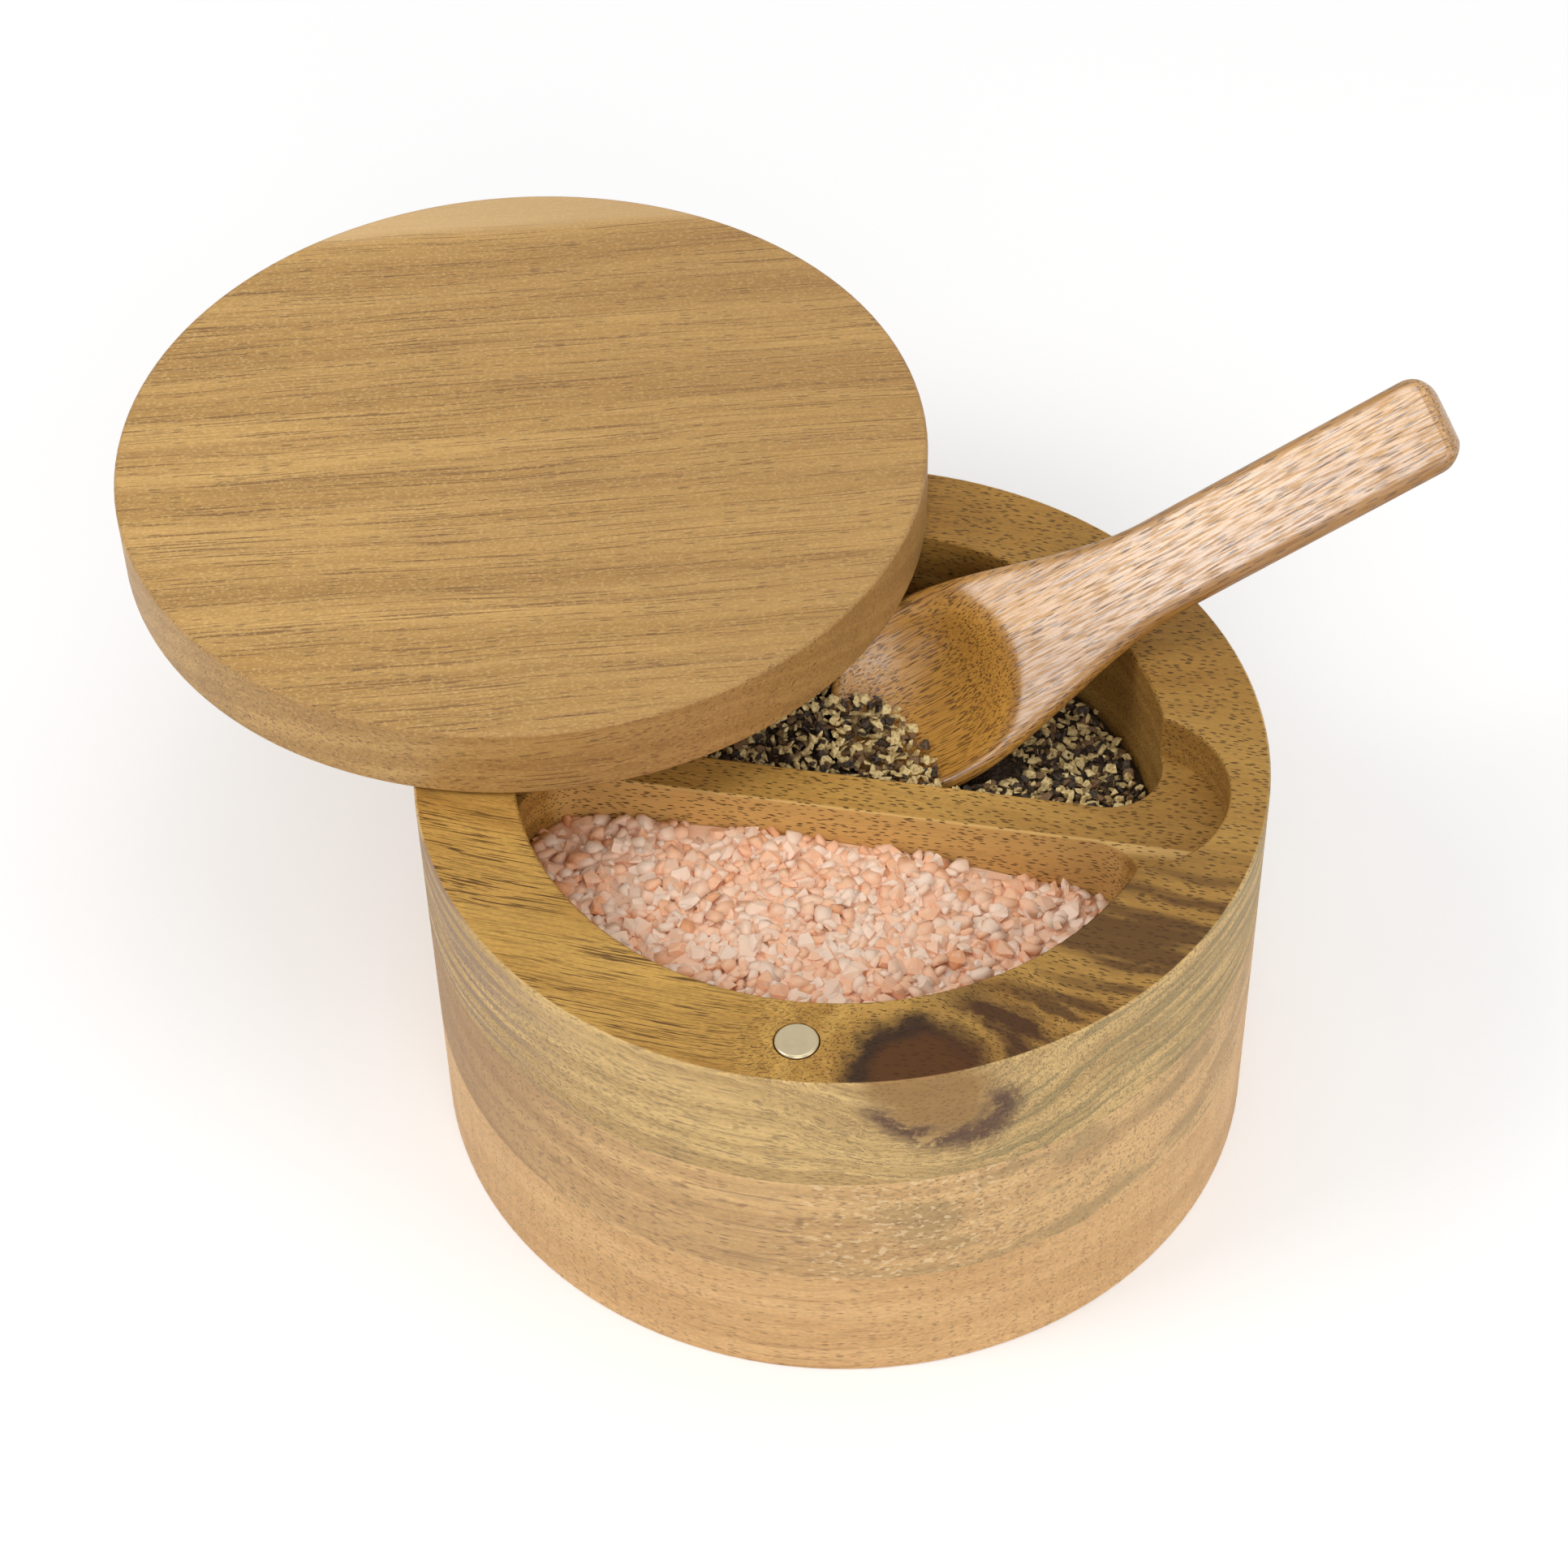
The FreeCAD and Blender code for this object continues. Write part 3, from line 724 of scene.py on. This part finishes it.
draw = random.Random(23)
chips = [
    broken_grain(f"chip_{i}", draw, PEPPER_POINTS, PEPPER_WIDTHS, PEPPER_HEIGHTS, False)
    for i in range(PEPPER_KINDS)]
pepper_bm = bed("pepper_fill", PEPPER_BED_DROP, PEPPER_BED_TONE)
spoonful_bm = bmesh.new()
spoonful_bm.faces.layers.float.new("tone")
for x, y, depth, size in scatter(draw, PEPPER_LAYERS, PEPPER_JITTER):
    if y < 0 or not in_compartment(x, y, PEPPER_MARGIN * size):
        continue
    place = Vector((x, y, pepper_level(x, y) - depth - draw.uniform(0, SINK)))
    where = beside_spoon(place, PEPPER_ROOM * size)
    if where == "clear":
        strew(pepper_bm, chips, draw, place, size, draw.random(), PEPPER_TILT)
    while where == "on":
        strew(spoonful_bm, chips, draw, place, size, draw.random(), PEPPER_TILT)
        place.z -= SPOONFUL_STEP
        where = beside_spoon(place, PEPPER_ROOM * size)
pepper_finish, point = new_finish("pepper")
tone = point.node("Attribute", {"attribute_name": "tone"}, {}, "Fac")
crumb = mottle(axes(point), (0.5, 0.5, 0.5), detail=3.0)
colour = tint(PEPPER_SKIN, PEPPER_WRINKLE, rise(crumb, 0.4, 0.7))
cream = tint(PEPPER_OLIVE, PEPPER_CREAM, rise(crumb, 0.32, 0.58))
colour = tint(colour, PEPPER_BROWN, rise(tone, 0.24, 0.28) * 0.8)
colour = tint(colour, cream, rise(tone, 0.42, 0.48))
coat_of(pepper_finish, colour, 0.5 + crumb * 0.3, crumb, 0.25)
pepper = add_piece(pepper_bm, "pepper_heap", pepper_finish, "cellar")
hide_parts("pepper_fill")
add_piece(spoonful_bm, "pepper_in_spoon", pepper_finish, "spoon")


# The table top that the cellar stands on: plain white, and white again where it meets the room.
# It glows for the camera and in gloss only, more so far off, and lights nothing by that.
FLOOR_SIZE = 6.0
FLOOR_COLOUR = (0.86, 0.86, 0.86, 1.0)
FLOOR_GLOW = 0.27
FLOOR_FAR_GLOW = 0.4
FLOOR_FAR = (280.0, 1000.0)


def rays(tree, *kinds):
    """1 for a ray of one of these kinds, 0 for any other."""
    light_path = tree.nodes.new("ShaderNodeLightPath")
    found = sum(Tone(tree, light_path.outputs[f"Is {kind} Ray"]) for kind in kinds)
    return found.math("MINIMUM", found, 1.0)


floor_bm = bmesh.new()
bmesh.ops.create_grid(floor_bm, x_segments=1, y_segments=1, size=FLOOR_SIZE / 2)
floor_mesh = bpy.data.meshes.new("floor")
floor_bm.to_mesh(floor_mesh)
floor_bm.free()
floor = bpy.data.objects.new("floor", floor_mesh)
bpy.context.scene.collection.objects.link(floor)
floor_finish, point = new_finish("table_top")
tree = floor_finish.node_tree
shader = tree.nodes["Principled BSDF"]
shader.inputs["Base Color"].default_value = FLOOR_COLOUR
shader.inputs["Roughness"].default_value = 1.0
shader.inputs["Specular IOR Level"].default_value = 0.0
far = rise(reach(*axes(point)[:2]), *FLOOR_FAR)
glow = rays(tree, "Camera", "Glossy") * (FLOOR_GLOW + far * FLOOR_FAR_GLOW)
glow_colour = glow.node("CombineColor", {}, {0: glow, 1: glow, 2: glow})
tree.links.new(glow_colour.socket, shader.inputs["Emission Color"])
shader.inputs["Emission Strength"].default_value = 1.0
floor_mesh.materials.append(floor_finish)


# The light: four soft boxes, the strongest high at the front left, in a room that looks white.
# The room lights the cellar less than it shows, so that the soft boxes shape the shadows.
LOOK_AT = Vector((0.0, 0.02, 0.05))
ROOM_LIGHT = 0.45


def soft_box(name, towards, distance, size, radiance):
    """A square lamp that shines on the cellar from a direction."""
    lamp = bpy.data.lights.new(name, "AREA")
    lamp.size = size
    lamp.energy = radiance * math.pi * size * size
    box = bpy.data.objects.new(name, lamp)
    direction = Vector(towards).normalized()
    box.location = LOOK_AT + direction * distance
    box.rotation_euler = direction.to_track_quat("Z", "Y").to_euler()
    bpy.context.scene.collection.objects.link(box)


soft_box("key", (-0.60, -0.35, 0.72), distance=1.2, size=0.45, radiance=6.0)
soft_box("front", (0.25, -0.85, 0.55), distance=1.5, size=0.9, radiance=2.2)
soft_box("right", (0.90, -0.30, 0.40), distance=1.5, size=0.8, radiance=1.6)
soft_box("top", (0.1, 0.1, 1.0), distance=1.4, size=0.9, radiance=1.2)
world = bpy.data.worlds.new("room")
bpy.context.scene.world = world
world.use_nodes = True
white = rays(world.node_tree, "Camera", "Glossy", "Transmission")
room_light = white * (1 - ROOM_LIGHT) + ROOM_LIGHT
background = world.node_tree.nodes["Background"]
background.inputs["Color"].default_value = (1.0, 1.0, 1.0, 1.0)
world.node_tree.links.new(room_light.socket, background.inputs["Strength"])


# The camera: above the front right of the cellar, with a long lens and no shift.
# Its place and angles come from the fit to the photo's outlines.
CAMERA_PLACE = Vector((0.067303, -0.363071, 0.444886))
CAMERA_YAW = math.radians(-0.917)
CAMERA_PITCH = math.radians(46.369)
CAMERA_ROLL = math.radians(-1.419)
CAMERA_TURN = math.radians(10.85)
SENSOR = 36.0
FOCAL_SHARE = 2.41075
CLIP_START = 0.01
ahead = Vector((
    math.sin(CAMERA_YAW) * math.cos(CAMERA_PITCH),
    math.cos(CAMERA_YAW) * math.cos(CAMERA_PITCH),
    -math.sin(CAMERA_PITCH)))
right = Vector((math.cos(CAMERA_YAW), -math.sin(CAMERA_YAW), 0))
above = right.cross(ahead)
rolled_right = right * math.cos(CAMERA_ROLL) + above * math.sin(CAMERA_ROLL)
rolled_above = above * math.cos(CAMERA_ROLL) - right * math.sin(CAMERA_ROLL)
camera = bpy.data.objects.new("camera", bpy.data.cameras.new("camera"))
camera.data.sensor_width = SENSOR
camera.data.lens = SENSOR * FOCAL_SHARE
camera.data.clip_start = CLIP_START
facing = Matrix((rolled_right, rolled_above, -ahead)).transposed().to_4x4()
turned_about = Matrix.Rotation(CAMERA_TURN, 4, "Z")
camera.matrix_world = Matrix.Translation(CAMERA_PLACE) @ turned_about @ facing
bpy.context.scene.collection.objects.link(camera)
bpy.context.scene.camera = camera
